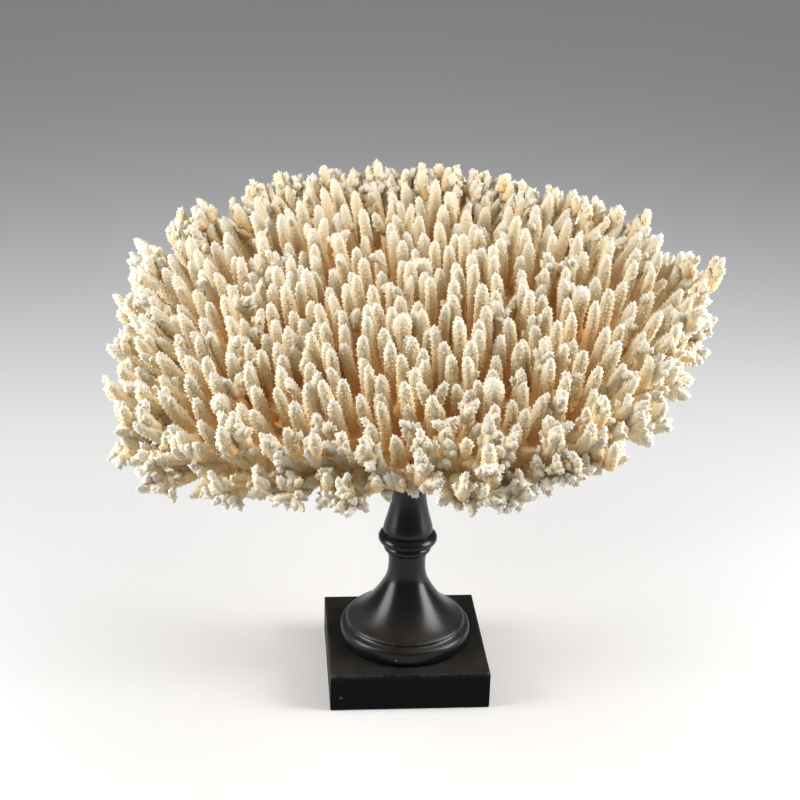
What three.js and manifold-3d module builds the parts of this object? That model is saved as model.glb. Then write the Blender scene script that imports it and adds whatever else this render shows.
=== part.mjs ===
// Table coral on a black turned pedestal.
//
// A square plinth carries one lathe-turned column, and a short coral trunk stands on the column's
// cap. The trunk spreads into eight limbs. Each limb forks three times on its way to the rim, is
// fused into one wide plate, and carries the upright fingers that make the coral's top. The coral is
// set leaning towards the front and a little to the left.
//
// Frame: millimetres, +Z up, front is -Y, origin at the centre of the plinth's underside.

import * as THREE from 'three';
import { mergeVertices } from 'three/addons/utils/BufferGeometryUtils.js';
import Module from 'manifold-3d';

const wasm = await Module();
wasm.setup();

// Driving dimensions of the pedestal
const FIT_GAP = 0.3; // clearance between separate pieces
const PLINTH_SIDE = 120;
const PLINTH_HEIGHT = 30;
const PLINTH_BEVEL = 1;
const COLUMN_TOP = 186;
const COLUMN_SEGMENTS = 20;

// Driving dimensions of the coral
const PLATE_HEIGHT = 271; // top of the plate above the ground, on the column's axis
const LEAN_FORWARD = THREE.MathUtils.degToRad(11); // the back is higher than the front
const LEAN_LEFT = THREE.MathUtils.degToRad(5.5); // the right is higher than the left
const CORAL_TURN = THREE.MathUtils.degToRad(-5.2); // the coral's front against the plinth's
const RIM_STEP = 15; // degrees between the rim radii below, anticlockwise from +X
const RIM_RADII = [
  216, 236, 210, 194, 202, 204, 213, 225, 233, 246, 255, 238,
  214, 223, 238, 237, 213, 195, 197, 208, 220, 215, 211, 211,
];
const HUB_RADIUS = 38; // the trunk's own part of the plate
const TRUNK_FOOT_RADIUS = 20;
const TRUNK_WAIST_RADIUS = 23;
const LIMB_COUNT = 8;
const LIMB_SPAN = (2 * Math.PI) / LIMB_COUNT;
const FIRST_LIMB_ANGLE = THREE.MathUtils.degToRad(12);
const PLATE_EDGE_THICKNESS = 9;
const PLATE_HUB_THICKNESS = 44;
const PLATE_TAPER = 38; // distance over which the extra thickness falls to a third
const RIB_HEIGHT = 9; // how far a limb's forks stand out below the plate between them
const FORK_SHARES = [0.42, 0.7]; // where the limb forks, as shares of the rim's radius
const RIM_FORK = FORK_SHARES.length + 1; // the last fork makes the lobes
const LOBE_NOTCH = 0.9; // the rim's radius between two lobes
const LOBE_REACH = 0.96;
const LOBE_RISE = 7;

// Driving dimensions of the fingers
const FINGER_SPACING = 9.85; // the n-th finger stands about this times the root of n from the middle
const FINGER_REACH = 0.88; // last finger, as a share of the rim's radius
const RIM_SPACING = 20; // how much further out the last fingers stand than at an even spacing
const FINGER_LENGTH = 41;
const BACK_HEIGHT = 9; // added to the last fingers at the back
const FRONT_SHORTER = 0.42; // share of their length that the last fingers at the front lack
const FINGER_ROOT_RADIUS = 6.2;
const FINGER_SHOULDER_RADIUS = 5.4;
const FINGER_SHOULDER = 0.76; // share of the length where the tip starts
const SIDE_LEAN = THREE.MathUtils.degToRad(42); // last fingers against the upright, left and right
const FRONT_LEAN = THREE.MathUtils.degToRad(14);
const BACK_LEAN = THREE.MathUtils.degToRad(26);
const ROOT_SHIFT = 1.4; // how far a leaning finger's root lies beside its foot
const GOLDEN_ANGLE = Math.PI * (3 - Math.sqrt(5));

const BLACK_WOOD = { color: 0x101012, roughness: 0.45, metalness: 0 };
const CORAL_STONE = { color: 0xeadfc6, roughness: 0.85, metalness: 0 };

// A repeatable number from 0 to 1 for the n-th finger or branch
function chance(n, salt) {
  const wave = Math.sin(n * 12.9898 + salt * 78.233) * 43758.5453;
  return wave - Math.floor(wave);
}

// Either side of zero, up to one
function sway(n, salt) {
  return 2 * chance(n, salt) - 1;
}

function smoothStep(from, to, x) {
  const t = THREE.MathUtils.clamp((x - from) / (to - from), 0, 1);
  return t * t * (3 - 2 * t);
}

// Radius of the coral's outline in plan, a closed smooth curve through RIM_RADII
function rimRadius(angle) {
  const turns = THREE.MathUtils.euclideanModulo(THREE.MathUtils.radToDeg(angle), 360) / RIM_STEP;
  const first = Math.floor(turns);
  const t = turns - first;
  const at = (k) => RIM_RADII[(first + k + RIM_RADII.length) % RIM_RADII.length];
  const [a, b, c, d] = [at(-1), at(0), at(1), at(2)];
  return b + 0.5 * t * (c - a + t * (2 * a - 5 * b + 4 * c - d + t * (3 * (b - c) + d - a)));
}

// How far the fingers' tips rise and fall over the coral
function tipWave(x, y) {
  return 2.5 * Math.sin(x / 47 + 0.6) * Math.cos(y / 53) + 1.5 * Math.sin((x - y) / 31);
}

function plateThickness(radius) {
  const extra = PLATE_HUB_THICKNESS - PLATE_EDGE_THICKNESS;
  return PLATE_EDGE_THICKNESS + extra * Math.exp(-(radius - HUB_RADIUS) / PLATE_TAPER);
}

function polar(radius, angle, z) {
  return new THREE.Vector3(radius * Math.cos(angle), radius * Math.sin(angle), z);
}

// A closed geometry from a list of points and a list of triangles
function closedGeometry(points, triangles) {
  const geometry = new THREE.BufferGeometry();
  geometry.setAttribute(
    'position',
    new THREE.Float32BufferAttribute(points.flatMap((p) => p.toArray()), 3),
  );
  geometry.setIndex(triangles);
  return geometry;
}

// A branch: rings of equal sides around a line of centres, with a flat start and a pointed end
function branch(centres, radii, sides, twist = 0) {
  const points = [];
  const triangles = [];
  const rings = radii.length;
  for (let ring = 0; ring < rings; ring += 1) {
    const before = centres[Math.max(ring - 1, 0)];
    const along = centres[ring + 1].clone().sub(before).normalize();
    const guide = Math.abs(along.z) > 0.9 ? new THREE.Vector3(1, 0, 0) : new THREE.Vector3(0, 0, 1);
    const across = new THREE.Vector3().crossVectors(guide, along).normalize();
    const over = new THREE.Vector3().crossVectors(along, across);
    for (let side = 0; side < sides; side += 1) {
      const turn = twist + (2 * Math.PI * side) / sides;
      points.push(
        centres[ring]
          .clone()
          .addScaledVector(across, radii[ring] * Math.cos(turn))
          .addScaledVector(over, radii[ring] * Math.sin(turn)),
      );
    }
  }
  points.push(centres[rings]);
  const tip = points.length - 1;
  for (let side = 0; side < sides; side += 1) {
    const next = (side + 1) % sides;
    for (let ring = 0; ring < rings - 1; ring += 1) {
      const [a, b] = [ring * sides + side, ring * sides + next];
      triangles.push(a, b, b + sides, a, b + sides, a + sides);
    }
    const last = (rings - 1) * sides;
    triangles.push(last + side, last + next, tip);
    if (side > 0 && side < sides - 1) {
      triangles.push(0, side + 1, side);
    }
  }
  return closedGeometry(points, triangles);
}

// A boolean solid from a closed geometry
function solidOf(geometry) {
  const bare = geometry.clone();
  bare.deleteAttribute('normal');
  bare.deleteAttribute('uv');
  const merged = mergeVertices(bare, 1e-4);
  return new wasm.Manifold(
    new wasm.Mesh({
      numProp: 3,
      vertProperties: new Float32Array(merged.attributes.position.array),
      triVerts: new Uint32Array(merged.index.array),
    }),
  );
}

function geometryOf(solid) {
  const mesh = solid.getMesh();
  const geometry = new THREE.BufferGeometry();
  geometry.setAttribute('position', new THREE.BufferAttribute(mesh.vertProperties, 3));
  geometry.setIndex(new THREE.BufferAttribute(mesh.triVerts, 1));
  return geometry;
}

function namedMesh(name, geometry, finish) {
  geometry.computeVertexNormals();
  const mesh = new THREE.Mesh(geometry, new THREE.MeshStandardMaterial(finish));
  mesh.name = name;
  return mesh;
}

// Square block with a small bevel on every edge
function makePlinth() {
  const half = PLINTH_SIDE / 2 - PLINTH_BEVEL;
  const outline = new THREE.Shape();
  outline.moveTo(-half, -half);
  outline.lineTo(half, -half);
  outline.lineTo(half, half);
  outline.lineTo(-half, half);
  outline.closePath();
  const geometry = new THREE.ExtrudeGeometry(outline, {
    depth: PLINTH_HEIGHT - 2 * PLINTH_BEVEL,
    bevelSize: PLINTH_BEVEL,
    bevelThickness: PLINTH_BEVEL,
    bevelSegments: 1,
  });
  geometry.translate(0, 0, PLINTH_BEVEL);
  return namedMesh('plinth', geometryOf(solidOf(geometry)), BLACK_WOOD);
}

// Turned column: foot disc, bell-shaped foot, neck with two beads, vase and cap
function makeColumn() {
  const foot = PLINTH_HEIGHT + FIT_GAP;
  const profile = [
    [0, foot], [50, foot], [50.6, 33], [49.8, 40.5], [47.6, 42.8], [45.7, 44.6], [45.6, 46.4],
    [41, 49.4], [34, 55], [28, 61.5], [23.5, 67.6], [19.4, 73.7], [16.4, 79.7], [14.2, 88],
    [14.4, 99], [15.2, 104], [18, 105.6], [18, 109.4], [17, 111.2], [22.4, 113], [22.4, 117.2],
    [18.4, 120.2], [18.8, 124], [15.6, 136], [12.8, 150], [12.8, 162], [16, 172], [21.5, 178],
    [21.5, 184],
    [20, COLUMN_TOP], [0, COLUMN_TOP],
  ].map(([radius, z]) => new THREE.Vector2(radius, z));
  const geometry = new THREE.LatheGeometry(profile, COLUMN_SEGMENTS);
  geometry.rotateX(Math.PI / 2);
  return namedMesh('turned_column', geometryOf(solidOf(geometry)), BLACK_WOOD);
}

// Where the n-th finger stands in plan, its limb (-1 for the trunk's own), and how it leans
function fingerAt(n) {
  const even = FINGER_SPACING * Math.sqrt(n + 0.5);
  const toFront = 0.5 - 0.5 * Math.sin(n * GOLDEN_ANGLE);
  const spread = even + RIM_SPACING * (0.4 + 0.6 * toFront) * smoothStep(100, 230, even);
  let x = spread * Math.cos(n * GOLDEN_ANGLE) + 3.6 * sway(n, 1);
  let y = spread * Math.sin(n * GOLDEN_ANGLE) + 3.6 * sway(n, 2);
  let radius = Math.hypot(x, y);
  let angle = Math.atan2(y, x);
  const share = radius / rimRadius(angle);
  if (share > FINGER_REACH) {
    return null;
  }
  const sideLean = SIDE_LEAN * Math.cos(angle);
  const depthLean = (BACK_LEAN + (FRONT_LEAN - BACK_LEAN) * toFront) * Math.sin(angle);
  const rimLean = Math.hypot(sideLean, depthLean);
  const lean = 0.05 + rimLean * smoothStep(0.45, 0.95, share) + 0.07 * sway(n, 3);
  const heading = Math.atan2(depthLean, sideLean) + 0.12 * sway(n, 4) * (1 - share);
  const taller = BACK_HEIGHT * (1 - toFront) * smoothStep(0.4, 0.85, share);
  const full = FINGER_LENGTH * (1 + 0.13 * sway(n, 5)) + tipWave(x, y) + taller;
  const length = full * (1 - FRONT_SHORTER * toFront ** 3 * smoothStep(0.55, 0.85, share));
  const girth = 1 + 0.12 * sway(n, 6) + 0.12 * smoothStep(0.6, 0.9, share);
  const room = FINGER_ROOT_RADIUS * girth + FIT_GAP + ROOT_SHIFT * smoothStep(0.3, 0.6, share);
  let limb = -1;
  if (radius < HUB_RADIUS) {
    radius = Math.min(radius, HUB_RADIUS - room);
  } else {
    radius = Math.max(radius, HUB_RADIUS + room);
    const turn = THREE.MathUtils.euclideanModulo(angle - FIRST_LIMB_ANGLE, 2 * Math.PI);
    limb = Math.floor(turn / LIMB_SPAN);
    const side = Math.asin(Math.min(1, room / radius));
    const within = THREE.MathUtils.clamp(turn - limb * LIMB_SPAN, side, LIMB_SPAN - side);
    angle = FIRST_LIMB_ANGLE + limb * LIMB_SPAN + within;
  }
  x = radius * Math.cos(angle);
  y = radius * Math.sin(angle);
  return { n, x, y, angle, radius, share, lean, heading, length, girth, limb };
}

function allFingers() {
  const fingers = [];
  const most = Math.ceil((Math.max(...RIM_RADII) / FINGER_SPACING) ** 2);
  for (let n = 0; n < most; n += 1) {
    const finger = fingerAt(n);
    if (finger) {
      fingers.push(finger);
    }
  }
  return fingers;
}

// One finger, rooted just under the plate's top
function fingerGeometry(finger) {
  const heading = finger.limb < 0 ? finger.angle : finger.heading;
  const along = polar(Math.sin(finger.lean), heading, Math.cos(finger.lean));
  const foot = new THREE.Vector3(finger.x, finger.y, 0);
  const at = (distance) => foot.clone().addScaledVector(along, distance);
  return branch(
    [at(-5), at(finger.length * FINGER_SHOULDER), at(finger.length)],
    [FINGER_ROOT_RADIUS * finger.girth, FINGER_SHOULDER_RADIUS * finger.girth],
    4,
    Math.PI * chance(finger.n, 7),
  );
}

// The limb's outline at one of its forks: ribs at the odd places, hollows between them at the even
function forkRow(limb, fork) {
  const count = 2 ** (fork + 1);
  const row = [];
  for (let place = 0; place <= count; place += 1) {
    const angle = FIRST_LIMB_ANGLE + LIMB_SPAN * (limb + place / count);
    const isRib = place % 2;
    const n = limb * count + place;
    let radius = HUB_RADIUS + FIT_GAP;
    let rise = 0;
    if (fork > 0 && fork < RIM_FORK) {
      radius = FORK_SHARES[fork - 1] * rimRadius(angle);
    }
    let depth = plateThickness(radius) + isRib * RIB_HEIGHT;
    if (fork === RIM_FORK) {
      const reach = isRib ? LOBE_REACH + 0.04 * sway(n, 22) : LOBE_NOTCH;
      radius = reach * rimRadius(angle);
      rise = isRib ? LOBE_RISE * chance(n, 23) : 0;
      depth = PLATE_EDGE_THICKNESS - rise;
    }
    row.push({ top: polar(radius, angle, rise), under: polar(radius, angle, -depth) });
  }
  return row;
}

// A limb's plate: flat on top, with a rib below that forks at every row and ends in the rim's lobes
function plateGeometry(limb) {
  const points = [];
  const triangles = [];
  const starts = [];
  const rows = [];
  for (let fork = 0; fork <= RIM_FORK; fork += 1) {
    const row = forkRow(limb, fork);
    rows.push(row.length);
    starts.push(points.length);
    points.push(...row.map((p) => p.top), ...row.map((p) => p.under));
  }
  const quad = (a, b, c, d) => triangles.push(a, b, c, a, c, d);
  for (let fork = 0; fork < RIM_FORK; fork += 1) {
    const [top, nextTop] = [starts[fork], starts[fork + 1]];
    const [under, nextUnder] = [top + rows[fork], nextTop + rows[fork + 1]];
    for (let place = 0; place < rows[fork] - 1; place += 1) {
      const near = place % 2 ? place + 1 : place; // the hollow beside the rib
      const rib = place % 2 ? place : place + 1;
      const child = 2 * place + 1;
      const above = [
        [top + near, nextTop + child, nextTop + 2 * near],
        [top + near, top + rib, nextTop + child],
        [top + rib, nextTop + 2 * rib, nextTop + child],
      ];
      const below = [
        [under + near, nextUnder + 2 * near, nextUnder + child],
        [under + near, nextUnder + child, under + rib],
        [under + rib, nextUnder + child, nextUnder + 2 * rib],
      ];
      for (const [a, b, c] of [...above, ...below]) {
        triangles.push(...(place % 2 ? [a, b, c] : [a, c, b]));
      }
    }
    const last = rows[fork] - 1;
    const nextLast = rows[fork + 1] - 1;
    quad(top, under, nextUnder, nextTop);
    quad(top + last, nextTop + nextLast, nextUnder + nextLast, under + last);
  }
  for (let place = 0; place < rows[0] - 1; place += 1) {
    quad(place, place + 1, place + 1 + rows[0], place + rows[0]);
  }
  for (let place = 0; place < rows[RIM_FORK] - 1; place += 1) {
    const top = starts[RIM_FORK] + place;
    const under = top + rows[RIM_FORK];
    quad(top, under, under + 1, top + 1);
  }
  return closedGeometry(points, triangles);
}

// Keeps what lies on the limb's own side of both its boundaries, less half the gap
function trimToLimb(solid, limb) {
  const first = FIRST_LIMB_ANGLE + limb * LIMB_SPAN;
  const last = first + LIMB_SPAN;
  return solid
    .trimByPlane([-Math.sin(first), Math.cos(first), 0], FIT_GAP / 2)
    .trimByPlane([Math.sin(last), -Math.cos(last), 0], FIT_GAP / 2);
}

// One limb: its part of the plate with the forks below, and its fingers above
function makeLimb(limb, fingers) {
  let solid = solidOf(plateGeometry(limb));
  for (const finger of fingers.filter((f) => f.limb === limb)) {
    solid = solid.add(solidOf(fingerGeometry(finger)));
  }
  return namedMesh(`coral_limb_${limb + 1}`, geometryOf(trimToLimb(solid, limb)), CORAL_STONE);
}

// Coral frame to the object's frame
function coralMatrix() {
  const turn = new THREE.Matrix4().makeRotationZ(CORAL_TURN);
  const forward = new THREE.Matrix4().makeRotationX(LEAN_FORWARD);
  const left = new THREE.Matrix4().makeRotationY(-LEAN_LEFT);
  return new THREE.Matrix4()
    .makeTranslation(0, 0, PLATE_HEIGHT)
    .multiply(turn)
    .multiply(forward)
    .multiply(left);
}

// The trunk, cut flat where it stands on the column's cap, with the middle of the plate on it
function makeTrunk(fingers) {
  const toObject = coralMatrix();
  const foot = new THREE.Vector3(0, 0, COLUMN_TOP).applyMatrix4(toObject.clone().invert());
  const hub = new THREE.CylinderGeometry(HUB_RADIUS, HUB_RADIUS, PLATE_HUB_THICKNESS, 2 * LIMB_COUNT)
    .rotateX(Math.PI / 2)
    .rotateZ(FIRST_LIMB_ANGLE)
    .translate(0, 0, -PLATE_HUB_THICKNESS / 2);
  const below = foot.clone().multiplyScalar(1.2);
  const stations = [below, foot, foot.clone().lerp(new THREE.Vector3(0, 0, -40), 0.5)];
  stations.push(new THREE.Vector3(0, 0, -40), new THREE.Vector3(0, 0, -16), new THREE.Vector3());
  const radii = [TRUNK_FOOT_RADIUS, TRUNK_FOOT_RADIUS, TRUNK_WAIST_RADIUS, 32, 36];
  let solid = solidOf(branch(stations, radii, 12)).add(solidOf(hub));
  for (const finger of fingers.filter((f) => f.limb < 0)) {
    solid = solid.add(solidOf(fingerGeometry(finger)));
  }
  const level = new THREE.Vector3(0, 0, 1).transformDirection(toObject.clone().invert());
  const cut = level.dot(foot) + FIT_GAP;
  return namedMesh('coral_trunk', geometryOf(solid.trimByPlane(level.toArray(), cut)), CORAL_STONE);
}

const coral = new THREE.Group();
coral.applyMatrix4(coralMatrix());
const fingers = allFingers();
coral.add(makeTrunk(fingers));
for (let limb = 0; limb < LIMB_COUNT; limb += 1) {
  coral.add(makeLimb(limb, fingers));
}

const tableCoral = new THREE.Group();
tableCoral.add(makePlinth(), makeColumn(), coral);

export default tableCoral;
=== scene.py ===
"""Table coral on a black turned pedestal.

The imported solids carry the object's size and place. This script dresses them: each limb of the
coral and its trunk become a grown skin of upright fingers with small pointed cups, and the pedestal
gets its smooth turning and its worn black finish. Coral shapes are worked out in millimetres in the
coral's own frame, with the plate's top at height zero, and are then set leaning on the column.
"""

import logging
import math
from dataclasses import dataclass, field, replace
from enum import Enum, IntEnum

import bpy
import numpy as np
from bpy.types import ID, Material, Mesh, NodeSocket, NodeTree, Object
from mathutils import Matrix, Vector


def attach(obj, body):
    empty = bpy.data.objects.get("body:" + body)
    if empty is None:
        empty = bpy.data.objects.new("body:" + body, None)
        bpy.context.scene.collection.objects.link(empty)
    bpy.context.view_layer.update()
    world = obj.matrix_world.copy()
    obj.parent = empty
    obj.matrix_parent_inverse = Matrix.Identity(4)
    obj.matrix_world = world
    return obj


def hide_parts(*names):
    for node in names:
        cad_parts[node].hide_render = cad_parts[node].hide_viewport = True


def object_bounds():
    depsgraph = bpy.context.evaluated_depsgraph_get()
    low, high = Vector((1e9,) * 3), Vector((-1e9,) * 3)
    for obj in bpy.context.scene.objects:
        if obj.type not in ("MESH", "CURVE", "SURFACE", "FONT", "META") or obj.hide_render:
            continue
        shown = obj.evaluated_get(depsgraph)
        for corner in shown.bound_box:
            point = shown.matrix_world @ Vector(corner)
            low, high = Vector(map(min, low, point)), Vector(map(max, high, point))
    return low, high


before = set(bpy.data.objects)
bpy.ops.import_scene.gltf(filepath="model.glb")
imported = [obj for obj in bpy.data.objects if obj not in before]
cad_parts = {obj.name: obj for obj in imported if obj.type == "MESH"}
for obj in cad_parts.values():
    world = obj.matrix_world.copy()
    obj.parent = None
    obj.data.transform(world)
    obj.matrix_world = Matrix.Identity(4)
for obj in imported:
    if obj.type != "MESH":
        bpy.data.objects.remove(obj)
CAD_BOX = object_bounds()

LOG = logging.getLogger("table_coral")
METRES = 0.001
GOLDEN_ANGLE = math.pi * (3 - math.sqrt(5))
PART_STEP = 1000
RIGHT, BACK, UP = np.eye(3)

Array = np.ndarray
Pair = tuple[float, float]
Triple = tuple[float, float, float]
Faces = list[tuple[int, ...]]


def chance(n: int, salt: int) -> float:
    """Gives a repeatable number from 0 to 1 for finger n and property salt."""
    wave = math.sin(n * 12.9898 + salt * 78.233) * 43758.5453
    return wave - math.floor(wave)


def sway(n: int, salt: int) -> float:
    """Gives a repeatable number from -1 to 1 for finger n and property salt."""
    return 2 * chance(n, salt) - 1


def drawn(span: Pair, n: int, salt: int) -> float:
    """Draws a number for finger n: the first of the span and a chance share of the second."""
    return span[0] + span[1] * chance(n, salt)


def smooth_step(low: float, high: float, x: Array | float) -> Array | float:
    """Rises smoothly from 0 where x is low to 1 where it is high."""
    t = np.clip((x - low) / (high - low), 0, 1)
    return t * t * (3 - 2 * t)


def round_end(start: float, t: Array) -> Array:
    """Falls along a quarter circle from 1 at the start to 0 at the end of t."""
    return np.sqrt(np.clip(1 - (np.clip(t - start, 0, 1) / (1 - start)) ** 2, 0, 1))


def unit(v: Array) -> Array:
    """Scales a vector, or each row of an array of them, to length one."""
    return v / np.maximum(np.linalg.norm(v, axis=-1, keepdims=True), 1e-12)


def polar(radius: float, angle: float, z: float = 0.0) -> Array:
    """Gives the point at a radius and an angle in plan, and a height."""
    return np.array([radius * math.cos(angle), radius * math.sin(angle), z])


def make_mesh(name: str, points: Array, faces: Faces, values: dict[str, Array]) -> Mesh:
    """Makes a smooth mesh in metres.

    Args:
        name: Its name.
        points: Its points, in millimetres.
        faces: Its faces.
        values: A number or a vector at each point, by the attribute's name.

    Returns:
        The mesh.
    """
    mesh = bpy.data.meshes.new(name)
    mesh.from_pydata((points * METRES).tolist(), [], faces)
    mesh.shade_smooth()
    for label, rows in values.items():
        kind, key = ("FLOAT", "value") if rows.ndim == 1 else ("FLOAT_VECTOR", "vector")
        layer = mesh.attributes.new(label, kind, "POINT")
        layer.data.foreach_set(key, rows.astype(np.float32).ravel())
    return mesh


def add_object(name: str, data: ID) -> Object:
    """Adds an object to the scene."""
    item = bpy.data.objects.new(name, data)
    bpy.context.scene.collection.objects.link(item)
    return item


def tube_points(centres: Array, wide: Array, thick: Array, across: Array, over: Array) -> Array:
    """Gives the points of a tube, ring after ring.

    Args:
        centres: The middle of each ring.
        wide: Each point's reach in the first direction, a row for each ring.
        thick: Its reach in the second.
        across: The first direction.
        over: The second.

    Returns:
        One point a row.
    """
    turn = 2 * math.pi * np.arange(wide.shape[1]) / wide.shape[1]
    ring = centres[:, None] + (wide * np.cos(turn))[..., None] * across
    return (ring + (thick * np.sin(turn))[..., None] * over).reshape(-1, 3)


def tube_faces(rows: int, sides: int) -> Faces:
    """Lists the faces of a closed tube.

    Args:
        rows: How many rings it has.
        sides: How many points each ring has.

    Returns:
        Faces for the rings' points in order, then the point at the end, then the one at the start.
    """
    faces = []
    for j in range(rows - 1):
        for i in range(sides):
            low, high, k = j * sides, (j + 1) * sides, (i + 1) % sides
            faces.append((low + i, low + k, high + k, high + i))
    last, end, start = (rows - 1) * sides, rows * sides, rows * sides + 1
    for i in range(sides):
        k = (i + 1) % sides
        faces.append((last + i, last + k, end))
        faces.append((k, i, start))
    return faces


class FingerKind(Enum):
    """How a finger of the coral ends."""

    PLAIN = "plain"
    FORKED = "forked"
    CLUBBED = "clubbed"
    KNOBBED = "knobbed"
    CLUSTERED = "clustered"
    LOBED = "lobed"


class Draw(IntEnum):
    """What a repeatable number is drawn for."""

    ACROSS = 1
    DEEP = 2
    LEAN = 3
    HEADING = 4
    LENGTH = 5
    GIRTH = 6
    LOBE_REACH = 22
    LOBE_LIFT = 23
    LOBE_ANGLE = 24
    LOBE_RADIUS = 25
    LOBE_WEAR = 26
    LOBE_KIND = 27
    KIND = 31
    WEAR = 32
    BEND = 33
    SHORTER = 35
    KNOB_COUNT = 41
    TIP_COUNT = 42
    TIP_TURN = 43
    TIP_START = 44
    TIP_LENGTH = 45
    TIP_TILT = 46
    TIP_KNOBS = 47
    KNOB_TURN = 51
    KNOB_PLACE = 52
    KNOB_TILT = 53
    KNOB_LENGTH = 54
    BOW = 61
    NUB_COUNT = 71
    NUB_TURN = 72
    NUB_RISE = 73
    NUB_LENGTH = 74
    NUB_RADIUS = 75
    STUB_COUNT = 76
    STUB_PLACE = 77
    STUB_ASIDE = 78
    STUB_LEAN = 79
    STUB_LENGTH = 80
    STUB_TILT = 81
    STUB_KNOBS = 82
    NUB_KNOBS = 83


@dataclass(frozen=True)
class CoralForm:
    """The coral's driving sizes, the same as those of its solids, in millimetres and degrees."""

    plate_height: float = 271.0
    lean_forward: float = 11.0
    lean_left: float = 5.5
    turn: float = -5.2
    rim_step: float = 15.0
    rim_radii: tuple[float, ...] = (
        216, 236, 210, 194, 202, 204, 213, 225, 233, 246, 255, 238,
        214, 223, 238, 237, 213, 195, 197, 208, 220, 215, 211, 211,
    )
    hub_radius: float = 38.0
    limb_count: int = 8
    first_limb: float = 12.0
    edge_thickness: float = 9.0
    hub_thickness: float = 44.0
    taper: float = 38.0
    rib_height: float = 9.0
    fork_shares: Pair = (0.42, 0.7)
    lobe_reach: float = 0.96
    lobe_rise: float = 7.0
    finger_spacing: float = 9.85
    finger_reach: float = 0.88
    rim_spacing: float = 20.0
    finger_length: float = 41.0
    back_height: float = 9.0
    root_radius: float = 6.2
    gap: float = 0.3
    front_shorter: float = 0.42
    side_lean: float = 42.0
    front_lean: float = 14.0
    back_lean: float = 26.0
    root_shift: float = 1.4

    @property
    def limb_span(self) -> float:
        """Angle of one limb, in radians."""
        return 2 * math.pi / self.limb_count

    def placement(self) -> Array:
        """Gives the matrix from the coral's own frame to the object's, in millimetres."""
        lift = Matrix.Translation((0, 0, self.plate_height))
        turn = Matrix.Rotation(math.radians(self.turn), 4, "Z")
        forward = Matrix.Rotation(math.radians(self.lean_forward), 4, "X")
        left = Matrix.Rotation(-math.radians(self.lean_left), 4, "Y")
        return np.array(lift @ turn @ forward @ left)

    def rim(self, angle: float) -> float:
        """Gives the radius of the coral's outline in plan.

        Args:
            angle: Direction in plan, in radians anticlockwise from the right.

        Returns:
            The radius of a closed smooth curve through the rim radii.
        """
        turns = (math.degrees(angle) % 360) / self.rim_step
        first = math.floor(turns)
        t = turns - first
        a, b, c, d = (self.rim_radii[(first + k) % len(self.rim_radii)] for k in (-1, 0, 1, 2))
        return b + 0.5 * t * (c - a + t * (2 * a - 5 * b + 4 * c - d + t * (3 * (b - c) + d - a)))

    def thickness(self, radius: Array | float) -> Array | float:
        """Gives the plate's thickness between its ribs at a radius."""
        extra = self.hub_thickness - self.edge_thickness
        return self.edge_thickness + extra * np.exp(-(radius - self.hub_radius) / self.taper)

    def limb_angle(self, limb: float) -> float:
        """Gives the angle at which a limb starts, in radians; halves give its middle."""
        return math.radians(self.first_limb) + limb * self.limb_span


@dataclass(frozen=True)
class Branchlet:
    """One finger, lobe or knob: where it starts, where it points and how big it is."""

    n: int
    foot: Array
    direction: Array
    length: float
    radius: float
    kind: FingerKind = FingerKind.PLAIN
    limb: int = -1
    outwards: float = 0.0
    spread: float = 0.5
    low_rise: float = 0.0
    high_rise: float = 1.0
    worn: float = 0.0
    level_foot: bool = True
    bend: float = 0.0

    @classmethod
    def between(cls, n: int, foot: Array, tip: Array, radius: float, **rest: object) -> "Branchlet":
        """Makes branchlet n of a radius from foot to tip, with the rest of its values."""
        return cls(n, foot, unit(tip - foot), float(np.linalg.norm(tip - foot)), radius, **rest)

    def at(self, share: float) -> Array:
        """Gives the point at a share of the length."""
        return self.foot + self.direction * self.length * share

    def grown(self, index: int, rise: Pair, **changes: object) -> "Branchlet":
        """Makes a plain branchlet that grows from this one.

        Args:
            index: Its number among the parts of this one.
            rise: Height values at its foot and at its tip.
            changes: What differs from this one, such as its foot or its length.

        Returns:
            The new branchlet.
        """
        usual = {"kind": FingerKind.PLAIN, "spread": 0.0, "level_foot": False, "bend": self.bend * 0.5}
        low, high = rise[0], min(rise[1], 1.0)
        return replace(self, n=self.n + PART_STEP * index, low_rise=low, high_rise=high, **usual | changes)


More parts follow.
